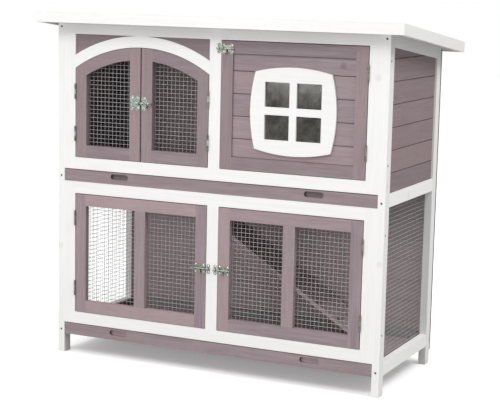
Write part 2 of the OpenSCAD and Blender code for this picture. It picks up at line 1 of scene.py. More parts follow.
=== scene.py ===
"""Looks of a two-storey timber rabbit hutch: painted and stained wood, welded wire, zinc fittings,
felt roof and a clear window. Metres, +X right, +Y back, +Z up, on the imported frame."""
import math

import bmesh
import bpy
from mathutils import Matrix, Vector


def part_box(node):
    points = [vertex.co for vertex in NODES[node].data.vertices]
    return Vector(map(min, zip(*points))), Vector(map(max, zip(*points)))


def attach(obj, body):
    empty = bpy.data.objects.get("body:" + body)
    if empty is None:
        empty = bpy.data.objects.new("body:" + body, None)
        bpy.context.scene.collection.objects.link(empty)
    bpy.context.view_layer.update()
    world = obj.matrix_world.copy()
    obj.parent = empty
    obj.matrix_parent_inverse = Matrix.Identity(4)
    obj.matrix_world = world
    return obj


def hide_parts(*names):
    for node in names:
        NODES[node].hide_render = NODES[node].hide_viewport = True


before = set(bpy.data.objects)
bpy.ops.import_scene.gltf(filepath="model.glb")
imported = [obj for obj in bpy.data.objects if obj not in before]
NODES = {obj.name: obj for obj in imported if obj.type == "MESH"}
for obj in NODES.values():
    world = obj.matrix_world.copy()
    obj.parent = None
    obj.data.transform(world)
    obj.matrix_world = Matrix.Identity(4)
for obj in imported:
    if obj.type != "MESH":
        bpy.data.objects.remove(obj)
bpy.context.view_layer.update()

# Timber: width of a door's bars, the boards' pitch, and the arch board's outer radius and width
DOOR_BAR = 0.036
BOARD_PITCH = 0.0635
ARCH_RADIUS = 0.438
ARCH_BOARD_WIDTH = 0.033
# Boards of the window door: their pitch, and how far below its boards' lowest edge a first joint would be
WINDOW_BOARD_PITCH = 0.0647
WINDOW_BOARD_DROP = 0.0112
# How far below the side boards their lowest joint would be
SIDE_BOARD_DROP = 0.0075
# Taller than any one board, so that only the top edge of a piece is darkened: a painted shade line for the
# gap above it
WHOLE_BOARD = 1.0
# Start and height of the one board that a piece without board joints is
ONE_PIECE = (-5.0, 10.0)
# Welded wire: its radius, its spacing each way, and how far a panel stays inside the arch board
WIRE_RADIUS = 0.00062
WIRE_SIDES = 6
MESH_ACROSS = 0.0132
MESH_UP = 0.0124
WIRE_EDGE = 0.0155
# Distance of the outermost wires from a panel's edge, and the shortest wire worth cutting
WIRE_MARGIN = 0.002
SHORTEST_WIRE = 0.01
# How far apart the crossing wires of a panel lie, so that they are sunk a little into each other
WIRE_CROSSING = 1.8 * WIRE_RADIUS
# Fittings: bolt bar radius and plate thickness
BOLT_RADIUS = 0.0025
PLATE_THICK = 0.0012
# Screws in the body: heights on the front of the legs and on their sides, and the side screws' place
FRONT_SCREW_HEIGHTS = (1.0055, 0.5535, 0.072)
SIDE_SCREW_HEIGHTS = (0.945, 0.658, 0.463, 0.179)
SIDE_SCREW_BACK = 0.011
# Rounding of the arrises
PAINTED_ARRIS = 0.0012
STAINED_ARRIS = 0.0008
DOOR_ARRIS = 0.0009
BOARD_ARRIS = 0.0006
METAL_ARRIS = 0.0003
HINGE_ARRIS = 0.0002
SHARP_ANGLE = math.radians(35)

FRONT_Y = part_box("lower_rails")[0].y
SIDE_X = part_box("leg_front_right")[1].x


# ---- Camera, floor and light ----

def make_camera():
    """Long lens, turned to the right-hand side and looking slightly down."""
    yaw, pitch, roll = 0.437828, 0.155206, 0.021957
    ahead = Vector((-math.sin(yaw) * math.cos(pitch), math.cos(yaw) * math.cos(pitch), -math.sin(pitch)))
    level = Vector((math.cos(yaw), math.sin(yaw), 0))
    above = level.cross(ahead)
    right = math.cos(roll) * level + math.sin(roll) * above
    up = math.cos(roll) * above - math.sin(roll) * level
    data = bpy.data.cameras.new("studio_camera")
    data.lens = 103.28
    data.sensor_width = 36
    data.clip_end = 100
    camera = bpy.data.objects.new("studio_camera", data)
    turn = Matrix((right, up, -ahead)).transposed().to_4x4()
    camera.matrix_world = Matrix.Translation((1.8481, -3.9257, 1.1493)) @ turn
    bpy.context.scene.collection.objects.link(camera)
    bpy.context.scene.camera = camera


def area_light(name, place, target, size, power, colour=(1, 1, 1)):
    data = bpy.data.lights.new(name, "AREA")
    data.shape = "RECTANGLE"
    data.size, data.size_y = size
    data.energy = power
    data.color = colour
    lamp = bpy.data.objects.new(name, data)
    lamp.location = place
    lamp.rotation_euler = (Vector(target) - Vector(place)).to_track_quat("-Z", "Y").to_euler()
    bpy.context.scene.collection.objects.link(lamp)


def light_studio():
    """A sky that is white to the camera and brightest overhead as a light, and three softboxes."""
    world = bpy.data.worlds.new("studio")
    world.use_nodes = True
    tree = world.node_tree
    split = add(tree, "ShaderNodeSeparateXYZ")
    link(tree, add(tree, "ShaderNodeTexCoord").outputs["Generated"], split.inputs[0])
    sky = ramp(tree, split.outputs["Z"], (0.18, 0.18, 0.183), (1.04, 1.04, 1.04), 0.0, 0.8)
    seen = add(tree, "ShaderNodeLightPath").outputs["Is Camera Ray"]
    link(tree, blend_colours(tree, seen, sky, (1.0, 1.0, 1.0)), tree.nodes["Background"].inputs["Color"])
    bpy.context.scene.world = world
    bpy.context.scene.view_settings.view_transform = "Standard"
    area_light("front_softbox", (-0.8, -3.2, 3.9), (0, 0, 0.5), (2.6, 1.8), 82, (1.0, 0.995, 0.98))
    area_light("side_softbox", (2.9, -0.5, 4.0), (0.4, 0, 0.5), (1.8, 1.6), 97, (1.0, 0.995, 0.985))
    area_light("low_fill", (-0.6, -4.6, 1.1), (0, 0, 0.6), (2.4, 1.2), 42, (1.0, 0.995, 0.98))


def make_floor():
    """Plain floor that the camera sees as white and that throws less light back on the hutch."""
    mesh = bpy.data.meshes.new("studio_floor")
    reach = 14
    corners = [(-reach, -reach, 0), (reach, -reach, 0), (reach, reach, 0), (-reach, reach, 0)]
    mesh.from_pydata(corners, [], [(0, 1, 2, 3)])
    floor = bpy.data.objects.new("studio_floor", mesh)
    floor.location.z = -0.0004
    bpy.context.scene.collection.objects.link(floor)
    material, tree, shader = new_material("pale_floor")
    noise = add(tree, "ShaderNodeTexNoise", Scale=6.0, Detail=3.0)
    white = ramp(tree, noise.outputs[0], (0.93, 0.93, 0.93), (0.95, 0.95, 0.95))
    seen = add(tree, "ShaderNodeLightPath").outputs["Is Camera Ray"]
    link(tree, blend_colours(tree, seen, (0.42, 0.42, 0.42), white), shader.inputs["Base Color"])
    shader.inputs["Roughness"].default_value = 0.85
    link(tree, blend_colours(tree, seen, (0.0, 0.0, 0.0), (1.0, 1.0, 1.0)), shader.inputs["Emission Color"])
    shader.inputs["Emission Strength"].default_value = 0.24
    floor.data.materials.append(material)


# ---- Node helpers ----

def add(tree, kind, **values):
    """New node with its sockets, or else its settings, given by name."""
    node = tree.nodes.new(kind)
    for key, value in values.items():
        name = key.replace("_", " ")
        if name in node.inputs:
            node.inputs[name].default_value = value
        else:
            setattr(node, key, value)
    return node


def link(tree, start, end):
    tree.links.new(start, end)


def maths(tree, operation, *values):
    """Math node with each input linked or set."""
    node = tree.nodes.new("ShaderNodeMath")
    node.operation = operation
    for socket, value in zip(node.inputs, values):
        if isinstance(value, (int, float)):
            socket.default_value = value
        else:
            tree.links.new(value, socket)
    return node.outputs[0]


def vector_maths(tree, operation, *values):
    """Vector Math node; gives a number for the operations that make one."""
    node = tree.nodes.new("ShaderNodeVectorMath")
    node.operation = operation
    for socket, value in zip(node.inputs, values):
        if isinstance(value, (tuple, list)):
            socket.default_value = value
        else:
            tree.links.new(value, socket)
    return node.outputs["Value" if operation in ("LENGTH", "DISTANCE", "DOT_PRODUCT") else "Vector"]


def ramp(tree, value, low, high, start=0.0, end=1.0):
    """Colour that runs from low to high."""
    node = tree.nodes.new("ShaderNodeValToRGB")
    node.color_ramp.elements[0].color = (*low, 1)
    node.color_ramp.elements[0].position = start
    node.color_ramp.elements[1].color = (*high, 1)
    node.color_ramp.elements[1].position = end
    tree.links.new(value, node.inputs["Fac"])
    return node.outputs["Color"]


def blend_colours(tree, factor, first, second, mode="MIX"):
    """Second colour laid over the first by a factor."""
    node = tree.nodes.new("ShaderNodeMix")
    node.data_type = "RGBA"
    node.blend_type = mode
    for socket, value in ((node.inputs[0], factor), (node.inputs[6], first), (node.inputs[7], second)):
        if isinstance(value, (int, float)):
            socket.default_value = value
        elif isinstance(value, tuple):
            socket.default_value = (*value, 1)
        else:
            tree.links.new(value, socket)
    return node.outputs[2]


def new_material(name):
    """Empty material with one Principled shader."""
    material = bpy.data.materials.new(name)
    material.use_nodes = True
    tree = material.node_tree
    tree.nodes.clear()
    output = tree.nodes.new("ShaderNodeOutputMaterial")
    shader = tree.nodes.new("ShaderNodeBsdfPrincipled")
    tree.links.new(shader.outputs["BSDF"], output.inputs["Surface"])
    return material, tree, shader


def new_group(name, inputs, outputs):
    """Node group with named sockets; inputs map a name to its kind and first value."""
    tree = bpy.data.node_groups.new(name, "ShaderNodeTree")
    for label, (kind, value) in inputs.items():
        socket = tree.interface.new_socket(label, in_out="INPUT", socket_type="NodeSocket" + kind)
        socket.default_value = value
    for label, kind in outputs.items():
        tree.interface.new_socket(label, in_out="OUTPUT", socket_type="NodeSocket" + kind)
    return tree, tree.nodes.new("NodeGroupInput").outputs, tree.nodes.new("NodeGroupOutput").inputs


def use_group(tree, group, **values):
    """A group placed in a material, with its sockets linked or set by name."""
    node = tree.nodes.new("ShaderNodeGroup")
    node.node_tree = group
    for key, value in values.items():
        socket = node.inputs[key.replace("_", " ")]
        if isinstance(value, bpy.types.NodeSocket):
            tree.links.new(value, socket)
        else:
            socket.default_value = value
    return node.outputs


def add_bump(tree, shader, height, strength, distance):
    bump = add(tree, "ShaderNodeBump", Strength=strength, Distance=distance)
    link(tree, height, bump.inputs["Height"])
    link(tree, bump.outputs["Normal"], shader.inputs["Normal"])


def add_roughness(tree, shader, mask, low, high):
    """Roughness that follows a mask between two values."""
    rough = add(tree, "ShaderNodeMapRange", To_Min=low, To_Max=high)
    link(tree, mask, rough.inputs["Value"])
    link(tree, rough.outputs[0], shader.inputs["Roughness"])


def object_place(tree):
    return tree.nodes.new("ShaderNodeTexCoord").outputs["Object"]


def looking(tree, way):
    """1 on the faces of a piece that look straight along a direction, -1 on those that look against it."""
    return vector_maths(tree, "DOT_PRODUCT", tree.nodes.new("ShaderNodeTexCoord").outputs["Normal"], way)


# ---- Shared shader groups ----

def make_grain_group():
    """Softwood grain: long streaks, fine fibres, broad blotches, a tone for each board, and a mask of its
    joints that also gives painted shade along a piece's top edge.
    """
    tree, given, put = new_group(
        "timber_grain",
        {"Place": ("Vector", (0, 0, 0)), "Stretch": ("Vector", (5, 90, 90)), "Seed": ("Float", 0.0),
         "Board Start": ("Float", 0.0), "Board Height": ("Float", 10.0)},
        {"Streaks": "Float", "Fibres": "Float", "Blotches": "Float", "Board": "Float", "Joint And Gap Shade": "Float"})
    split = add(tree, "ShaderNodeSeparateXYZ")
    link(tree, given["Place"], split.inputs[0])
    row = maths(tree, "DIVIDE", maths(tree, "SUBTRACT", split.outputs["Z"], given["Board Start"]),
                given["Board Height"])
    number = maths(tree, "ADD", maths(tree, "FLOOR", row), given["Seed"])
    chance = tree.nodes.new("ShaderNodeTexWhiteNoise")
    chance.noise_dimensions = "1D"
    link(tree, number, chance.inputs["W"])
    link(tree, chance.outputs["Value"], put["Board"])
    part = maths(tree, "FRACT", row)
    nearest = maths(tree, "MINIMUM", part, maths(tree, "SUBTRACT", 1.0, part))
    joint_and_gap_shade = add(tree, "ShaderNodeMapRange", From_Min=0.0007, From_Max=0.0021, To_Min=1.0, To_Max=0.0)
    link(tree, maths(tree, "MULTIPLY", nearest, given["Board Height"]), joint_and_gap_shade.inputs["Value"])
    link(tree, joint_and_gap_shade.outputs[0], put["Joint And Gap Shade"])
    shift = maths(tree, "MULTIPLY", number, 7.31)
    long_place = vector_maths(tree, "MULTIPLY", given["Place"], given["Stretch"])
    streaks = add(tree, "ShaderNodeTexNoise", noise_dimensions="4D", Scale=1.0, Detail=5.0, Roughness=0.6,
                  Distortion=0.9)
    fibres = add(tree, "ShaderNodeTexNoise", noise_dimensions="4D", Scale=5.5, Detail=3.0, Roughness=0.7)
    blotches = add(tree, "ShaderNodeTexNoise", noise_dimensions="4D", Scale=9.0, Detail=2.0, Roughness=0.5)
    for noise, place in ((streaks, long_place), (fibres, long_place), (blotches, given["Place"])):
        link(tree, place, noise.inputs["Vector"])
        link(tree, shift, noise.inputs["W"])
    link(tree, streaks.outputs[0], put["Streaks"])
    link(tree, fibres.outputs[0], put["Fibres"])
    link(tree, blotches.outputs[0], put["Blotches"])
    return tree


def make_upright_group():
    """Mask that is 1 on the upright members of a door: both stiles, and a middle one if it has a width."""
    tree, given, put = new_group(
        "upright_members",
        {"Place": ("Vector", (0, 0, 0)), "Left": ("Float", 0.0), "Right": ("Float", 0.0),
         "Low": ("Float", 0.0), "High": ("Float", 1.0), "Bar": ("Float", DOOR_BAR), "Middle": ("Float", 0.0)},
        {"Upright": "Float", "Member": "Float"})
    split = add(tree, "ShaderNodeSeparateXYZ")
    link(tree, given["Place"], split.inputs[0])
    x = split.outputs["X"]
    left = maths(tree, "LESS_THAN", maths(tree, "SUBTRACT", x, given["Left"]), given["Bar"])
    right = maths(tree, "LESS_THAN", maths(tree, "SUBTRACT", given["Right"], x), given["Bar"])
    centre = maths(tree, "MULTIPLY", maths(tree, "ADD", given["Left"], given["Right"]), 0.5)
    off = maths(tree, "ABSOLUTE", maths(tree, "SUBTRACT", x, centre))
    middle = maths(tree, "LESS_THAN", off, maths(tree, "MULTIPLY", given["Middle"], 0.5))
    height = split.outputs["Z"]
    over = maths(tree, "GREATER_THAN", maths(tree, "SUBTRACT", height, given["Low"]), given["Bar"])
    under = maths(tree, "GREATER_THAN", maths(tree, "SUBTRACT", given["High"], height), given["Bar"])
    middle = maths(tree, "MULTIPLY", middle, maths(tree, "MULTIPLY", over, under))
    link(tree, maths(tree, "MAXIMUM", maths(tree, "MAXIMUM", left, right), middle), put["Upright"])
    above = maths(tree, "GREATER_THAN", maths(tree, "ADD", height, height),
                  maths(tree, "ADD", given["Low"], given["High"]))
    above = maths(tree, "MULTIPLY", above, maths(tree, "SUBTRACT", 1.0, maths(tree, "MAXIMUM", left, right)))
    count = maths(tree, "ADD", maths(tree, "MULTIPLY", left, 1.0), maths(tree, "MULTIPLY", right, 2.0))
    above = maths(tree, "MULTIPLY", maths(tree, "MULTIPLY", above, maths(tree, "SUBTRACT", 1.0, middle)), 4.0)
    link(tree, maths(tree, "ADD", maths(tree, "ADD", count, maths(tree, "MULTIPLY", middle, 3.0)), above),
         put["Member"])
    return tree


def make_knot_group():
    """Round knot with a dark ring: mask of its eye and of the grain round it."""
    tree, given, put = new_group(
        "timber_knot",
        {"Place": ("Vector", (0, 0, 0)), "At": ("Vector", (0, 0, 0)), "Size": ("Float", 0.006)},
        {"Knot": "Float"})
    away = vector_maths(tree, "DISTANCE", given["Place"], given["At"])
    ratio = maths(tree, "DIVIDE", away, given["Size"])
    ring = maths(tree, "SUBTRACT", 1.0, maths(tree, "ABSOLUTE", maths(tree, "SUBTRACT", ratio, 0.8)))
    eye = maths(tree, "SUBTRACT", 1.0, ratio)
    both = maths(tree, "MAXIMUM", maths(tree, "MULTIPLY", ring, 0.7), eye)
    mask = add(tree, "ShaderNodeClamp")
    link(tree, both, mask.inputs[0])
    link(tree, mask.outputs[0], put["Knot"])
    return tree


def make_dust_group():
    """Patchy bloom of fine dust or oxide."""
    tree, given, put = new_group(
        "fine_bloom", {"Place": ("Vector", (0, 0, 0)), "Scale": ("Float", 60.0)},
        {"Patches": "Float", "Specks": "Float"})
    patches = add(tree, "ShaderNodeTexNoise", Detail=4.0, Roughness=0.6)
    link(tree, given["Place"], patches.inputs["Vector"])
    link(tree, given["Scale"], patches.inputs["Scale"])
    specks = add(tree, "ShaderNodeTexVoronoi")
    link(tree, given["Place"], specks.inputs["Vector"])
    link(tree, maths(tree, "MULTIPLY", given["Scale"], 6.0), specks.inputs["Scale"])
    link(tree, patches.outputs[0], put["Patches"])
    link(tree, specks.outputs["Distance"], put["Specks"])
    return tree


GRAIN = make_grain_group()
UPRIGHT = make_upright_group()
KNOT = make_knot_group()
DUST = make_dust_group()

ALONG_X = (5.0, 95.0, 95.0)
ALONG_Y = (95.0, 5.0, 95.0)
ALONG_Z = (95.0, 95.0, 5.0)


# ---- Timber finishes ----

def door_members(tree, place, node, middle):
    """Grain direction and seed that change between the stiles and rails of a door."""
    low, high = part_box(node)
    parts = use_group(tree, UPRIGHT, Place=place, Left=low.x, Right=high.x, Low=low.z, High=high.z,
                      Bar=DOOR_BAR, Middle=middle)
    turn = tree.nodes.new("ShaderNodeMix")
    turn.data_type = "VECTOR"
    turn.inputs[4].default_value = ALONG_X
    turn.inputs[5].default_value = ALONG_Z
    link(tree, parts["Upright"], turn.inputs[0])
    return turn.outputs[1], parts["Member"]


def knotted(tree, place, colour, knots, depth, bleed):
    """Colour of the wood with its knots, each darkened by a depth towards the colour that bleeds."""
    for at, size in knots:
        knot = use_group(tree, KNOT, Place=place, At=at, Size=size)["Knot"]
        colour = blend_colours(tree, maths(tree, "MULTIPLY", knot, depth), colour, bleed)
    return colour


def toned(colour, brightness):
    return tuple(brightness * part for part in colour)


def stained_wood(name, along, seed, boards=ONE_PIECE, door=None, middle=0.0, brightness=1.0, knots=(),
                 painted_front_light=0.0):
    """Grey-mauve stain that lets the softwood grain show, and soaks in darkest on the sawn ends."""
    material, tree, shader = new_material(name)
    place = object_place(tree)
    if door:
        stretch, member = door_members(tree, place, door, middle)
        seed = maths(tree, "ADD", member, seed)
    else:
        stretch = along
    grain = use_group(tree, GRAIN, Place=place, Stretch=stretch, Seed=seed, Board_Start=boards[0],
                      Board_Height=boards[1])
    base = ramp(tree, grain["Streaks"], toned((0.19, 0.143, 0.160), brightness),
                toned((0.305, 0.248, 0.272), brightness), 0.3, 0.7)
    pink = blend_colours(tree, maths(tree, "MULTIPLY", grain["Board"], 0.68), base,
                         toned((0.40, 0.288, 0.282), brightness))
    washed = blend_colours(tree, maths(tree, "MULTIPLY", grain["Blotches"], 0.4), pink,
                           toned((0.215, 0.175, 0.198), brightness))
    # Darkens the board joints; where a piece is one whole board above its top edge, this is painted shade of
    # the gap along that edge
    washed = blend_colours(tree, maths(tree, "MULTIPLY", grain["Joint And Gap Shade"], 0.6), washed, (0.055, 0.04, 0.045))
    if not door:
        grain_way = tuple(float(part == min(along)) for part in along)
        ends = maths(tree, "ABSOLUTE", looking(tree, grain_way))
        washed = blend_colours(tree, maths(tree, "MULTIPLY", ends, 0.8), washed, (0.075, 0.055, 0.055))
    # Painted light: faces that look towards the doors are drawn paler, standing for the light that falls in
    # through the mesh
    if painted_front_light:
        front = maths(tree, "MAXIMUM", looking(tree, (0.0, -1.0, 0.0)), 0.0)
        washed = blend_colours(tree, maths(tree, "MULTIPLY", front, painted_front_light), washed, (0.64, 0.52, 0.52))
    washed = knotted(tree, place, washed, knots, 0.6, (0.10, 0.07, 0.07))
    fine = ramp(tree, grain["Fibres"], (0.84, 0.84, 0.84), (1.0, 1.0, 1.0), 0.3, 0.6)
    link(tree, blend_colours(tree, 1.0, washed, fine, "MULTIPLY"), shader.inputs["Base Color"])
    add_roughness(tree, shader, grain["Streaks"], 0.52, 0.72)
    raised = maths(tree, "ADD", grain["Streaks"], maths(tree, "MULTIPLY", grain["Fibres"], 0.6))
    sunk = maths(tree, "SUBTRACT", raised, maths(tree, "MULTIPLY", grain["Joint And Gap Shade"], 1.5))
    add_bump(tree, shader, sunk, 0.35, 0.0006)
    return material


def painted_wood(name, along, seed, knots=(), brightness=1.0):
    """White satin paint with the grain telegraphing through, and knots that bleed."""
    material, tree, shader = new_material(name)
    place = object_place(tree)
    grain = use_group(tree, GRAIN, Place=place, Stretch=along, Seed=seed, Board_Start=ONE_PIECE[0],
                      Board_Height=ONE_PIECE[1])
    colour = ramp(tree, grain["Streaks"], toned((0.822, 0.82, 0.808), brightness),
                  toned((0.862, 0.862, 0.855), brightness), 0.32, 0.6)
    colour = blend_colours(tree, maths(tree, "MULTIPLY", grain["Blotches"], 0.25), colour,
                           toned((0.83, 0.825, 0.81), brightness))
    colour = knotted(tree, place, colour, knots, 0.45, (0.60, 0.56, 0.50))
    link(tree, colour, shader.inputs["Base Color"])
    add_roughness(tree, shader, grain["Fibres"], 0.42, 0.6)
    raised = maths(tree, "ADD", grain["Streaks"], maths(tree, "MULTIPLY", grain["Fibres"], 0.4))
    add_bump(tree, shader, raised, 0.25, 0.0005)
    return material


def zinc_plate(name="zinc_plate", tint=(0.42, 0.44, 0.38), rough_low=0.2, rough_high=0.42):
    """Zinc with a faint yellow-green passivation."""
    material, tree, shader = new_material(name)
    place = object_place(tree)
    bloom = use_group(tree, DUST, Place=place, Scale=140.0)
    link(tree, ramp(tree, bloom["Patches"], toned(tint, 0.55), tint, 0.35, 0.6), shader.inputs["Base Color"])
    shader.inputs["Metallic"].default_value = 1.0
    add_roughness(tree, shader, bloom["Patches"], rough_low, rough_high)
    add_bump(tree, shader, bloom["Specks"], 0.2, 0.0002)
    return material


def galvanised_wire():
    """Dull galvanised wire, only a quarter metallic so that it stays pale in the shade."""
    material, tree, shader = new_material("galvanised_wire")
    place = object_place(tree)
    bloom = use_group(tree, DUST, Place=place, Scale=90.0)
    link(tree, ramp(tree, bloom["Patches"], (0.35, 0.35, 0.36), (0.51, 0.505, 0.52), 0.3, 0.7),
         shader.inputs["Base Color"])
    shader.inputs["Metallic"].default_value = 0.25
    add_roughness(tree, shader, bloom["Patches"], 0.4, 0.6)
    add_bump(tree, shader, bloom["Specks"], 0.15, 0.0001)
    return material


def roofing_felt():
    """Mineral felt: dark green-grey granules pressed in bitumen."""
    material, tree, shader = new_material("roofing_felt")
    place = object_place(tree)
    bloom = use_group(tree, DUST, Place=place, Scale=160.0)
    broad = use_group(tree, DUST, Place=place, Scale=5.0)
    granule = ramp(tree, bloom["Specks"], (0.035, 0.045, 0.04), (0.13, 0.15, 0.135), 0.1, 0.7)
    faded = blend_colours(tree, maths(tree, "MULTIPLY", broad["Patches"], 0.4), granule, (0.09, 0.10, 0.09))
    link(tree, faded, shader.inputs["Base Color"])
    add_roughness(tree, shader, bloom["Patches"], 0.8, 0.95)
    add_bump(tree, shader, bloom["Specks"], 0.6, 0.0012)
    return material


def clear_sheet():
    """Clear plastic window with faint rub marks; its tint is drawn dark, as painted shade of the shaded
    inside of the hutch seen through it.
    """
    material, tree, shader = new_material("clear_sheet")
    place = object_place(tree)
    bloom = use_group(tree, DUST, Place=place, Scale=42.0)
    # This tint darkens the whole pane more than a clear sheet would, as painted shade of the inside behind
    # it; its patches are the rub marks
    tint = ramp(tree, bloom["Patches"], (0.45, 0.44, 0.36), (0.86, 0.83, 0.76), 0.35, 0.65)
    link(tree, tint, shader.inputs["Base Color"])
    shader.inputs["Transmission Weight"].default_value = 0.95
    shader.inputs["Specular IOR Level"].default_value = 0.2
    shader.inputs["IOR"].default_value = 1.46
    add_roughness(tree, shader, bloom["Patches"], 0.03, 0.14)
    add_bump(tree, shader, bloom["Patches"], 0.05, 0.0005)
    return material


def dress(node, material, arris=0.0):
    """Gives a CAD node its material, and rounds its arrises."""
    piece = NODES[node]
    piece.data.materials.clear()
    piece.data.materials.append(material)
    if arris:
        bevel = piece.modifiers.new("arris", "BEVEL")
        bevel.width = arris
        bevel.segments = 2
        bevel.limit_method = "ANGLE"
        bevel.angle_limit = SHARP_ANGLE


# ---- Mesh building ----

def finish_piece(bm, name, material, body):
    """Turns a bmesh into a piece that rides on a body."""
    bmesh.ops.recalc_face_normals(bm, faces=bm.faces)
    mesh = bpy.data.meshes.new(name)
    bm.to_mesh(mesh)
    bm.free()
    piece = bpy.data.objects.new(name, mesh)
    bpy.context.scene.collection.objects.link(piece)
    mesh.materials.append(material)
    for face in mesh.polygons:
        face.use_smooth = True
    mesh.set_sharp_from_angle(angle=SHARP_ANGLE)
    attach(piece, body)
    return piece


def wire_run(bm, start, end):
    """One straight round wire with closed ends."""
    start, end = Vector(start), Vector(end)
    turn = (end - start).to_track_quat("Z", "Y").to_matrix()
    rim = []
    for i in range(WIRE_SIDES):
        angle = math.tau * i / WIRE_SIDES
        rim.append(turn @ Vector((WIRE_RADIUS * math.cos(angle), WIRE_RADIUS * math.sin(angle), 0)))
    near, far = ([bm.verts.new(at + point) for point in rim] for at in (start, end))
    for i in range(WIRE_SIDES):
        j = (i + 1) % WIRE_SIDES
        bm.faces.new((near[i], near[j], far[j], far[i]))
    bm.faces.new(near[::-1])
    bm.faces.new(far)


def evenly(low, high, pitch):
    """Places a pitch apart, centred between two edges and clear of both."""
    low, high = low + WIRE_MARGIN, high - WIRE_MARGIN
    count = int((high - low) / pitch)
    first = (low + high - count * pitch) / 2
    return [first + i * pitch for i in range(count + 1)]


def front_wires(bm, low, high, arch):
    """Wires of a panel in a door; arch is the middle and radius of a round top, or None."""
    back = low.y + WIRE_RADIUS
    for x in evenly(low.x, high.x, MESH_ACROSS):
        top = high.z
        if arch:
            middle, radius = arch
            top = min(top, middle.z + math.sqrt(radius ** 2 - (x - middle.x) ** 2))
        wire_run(bm, (x, back + WIRE_CROSSING, low.z), (x, back + WIRE_CROSSING, top))
    for z in evenly(low.z, high.z, MESH_UP):
        left, right = low.x, high.x
        if arch:
            middle, radius = arch
            rise = max(z - middle.z, 0)
            reach = math.sqrt(max(radius ** 2 - rise ** 2, 0))
            left, right = max(left, middle.x - reach), min(right, middle.x + reach)
        if right - left > SHORTEST_WIRE:
            wire_run(bm, (left, back, z), (right, back, z))


def side_wires(bm, low, high):
    """Wires of a panel in the side of the hutch, with the level ones outermost."""
    side = 1 if low.x > 0 else -1
    outer = max(abs(low.x), abs(high.x)) - WIRE_RADIUS
    for y in evenly(low.y, high.y, MESH_UP):
        x = side * (outer - WIRE_CROSSING)
        wire_run(bm, (x, y, low.z), (x, y, high.z))
    for z in evenly(low.z, high.z, MESH_UP):
        wire_run(bm, (side * outer, low.y, z), (side * outer, high.y, z))


def welded_panel(node, body, material, arch=None):
    """Welded mesh in place of a flat CAD grid."""
    low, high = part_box(node)
    bm = bmesh.new()
    if high.y - low.y < high.x - low.x:
        front_wires(bm, low, high, arch)
    else:
        side_wires(bm, low, high)
    piece = finish_piece(bm, node + "_wires", material, body)
    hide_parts(node)


def cross_head(bm, centre, out, radius, height, turn):
    """Domed screw head with a cross recess, facing along out."""
    centre = Vector(centre)
    facing = Vector(out).to_track_quat("Z", "Y").to_matrix() @ Matrix.Rotation(turn, 3, "Z")
    slot_half, slot_reach = 0.16 * radius, 0.62 * radius
    rings, spokes = 7, 24
    rows = []
    for i in range(1, rings + 1):
        r = radius * i / rings
        row = []
        for k in range(spokes):
            a = math.tau * k / spokes
            x, y = r * math.cos(a), r * math.sin(a)
            z = height * math.sqrt(max(1 - (r / radius) ** 2, 0))
            if min(abs(x), abs(y)) < slot_half and r < slot_reach:
                z -= 0.55 * height
            row.append(bm.verts.new(centre + facing @ Vector((x, y, z))))
        rows.append(row)
    hub = bm.verts.new(centre + facing @ Vector((0, 0, 0.4 * height)))
    for k in range(spokes):
        j = (k + 1) % spokes
        bm.faces.new((hub, rows[0][k], rows[0][j]))
        for inner, outer in zip(rows, rows[1:]):
            bm.faces.new((inner[k], outer[k], outer[j], inner[j]))
    bm.faces.new(rows[-1][::-1])


# ---- Dressing the timber ----

# Grain direction and seed of each painted piece
PAINTED = {
    "leg_front_left": (ALONG_Z, 1), "leg_front_right": (ALONG_Z, 2),
    "leg_rear_left": (ALONG_Z, 3), "leg_rear_right": (ALONG_Z, 4),
    "side_rails_left": (ALONG_Y, 5), "side_rails_right": (ALONG_Y, 6),
    "upper_stiles": (ALONG_Z, 7), "upper_rails": (ALONG_X, 8),
    "lower_stiles": (ALONG_Z, 9), "lower_rails": (ALONG_X, 10),
    "mid_stiles": (ALONG_Z, 11), "arch_board": (ALONG_X, 12), "rear_rails": (ALONG_X, 13),
    "roof_rafters": (ALONG_Y, 14), "fascia_front": (ALONG_X, 15), "fascia_back": (ALONG_X, 16),
    "fascia_sides": (ALONG_Y, 17), "window_surround": (ALONG_X, 18),
}
# How much brighter or darker a painted piece is drawn beside the others, as painted light and shade: the rear
# rails are darkened, as painted shade of the dark band seen at the foot of the back panel through the mesh,
# and the side rails are drawn lighter, as painted light against the shade under the roof's overhang
PAINT_LIGHT_AND_SHADE = {"rear_rails": 0.36, "side_rails_left": 1.08, "side_rails_right": 1.08}
# Grain direction, seed and how bright the piece is drawn beside the common stain. These factors were set to
# match how bright each piece looks, so they hold painted light and shade: the pieces inside the hutch are
# drawn lighter or darker for how much light reaches them through the mesh, not for a different stain
STAINED = {
    "spandrels": (ALONG_X, 21, 0.85), "back_panel": (ALONG_X, 22, 1.5), "partition": (ALONG_Y, 23, 1.6),
    "floor_bearers": (ALONG_Y, 24, 0.55), "tray_runners": (ALONG_Y, 25, 1.0), "roof_deck": (ALONG_X, 26, 1.4),
    "upper_tray_front": (ALONG_X, 27, 1.08), "upper_tray_pan": (ALONG_X, 28, 0.7),
    "lower_tray_front": (ALONG_X, 29, 1.16), "lower_tray_pan": (ALONG_X, 30, 1.4),
    "ramp_board": (ALONG_X, 31, 2.1), "ramp_treads": (ALONG_Y, 32, 1.0),
}
# How much paler the face towards the doors is drawn on a piece inside the hutch, as painted light for the
# light that comes in through the doors; on the ramp it is a painted highlight along its near edge
PAINTED_FRONT_LIGHT = {"back_panel": 0.42, "ramp_board": 0.45}
# Seed, width of a middle stile and how bright each door is drawn; the brightness was set to match how bright
# each door looks, so it holds painted light and shade along with the stain's own tone
DOORS = {
    "arch_left_frame": (41, 0.0, 1.0), "arch_right_frame": (47, 0.0, 1.02),
    "window_door_frame": (53, 0.0, 1.0),
    "lower_left_frame": (59, DOOR_BAR, 1.2), "lower_right_frame": (65, DOOR_BAR, 1.2),
}
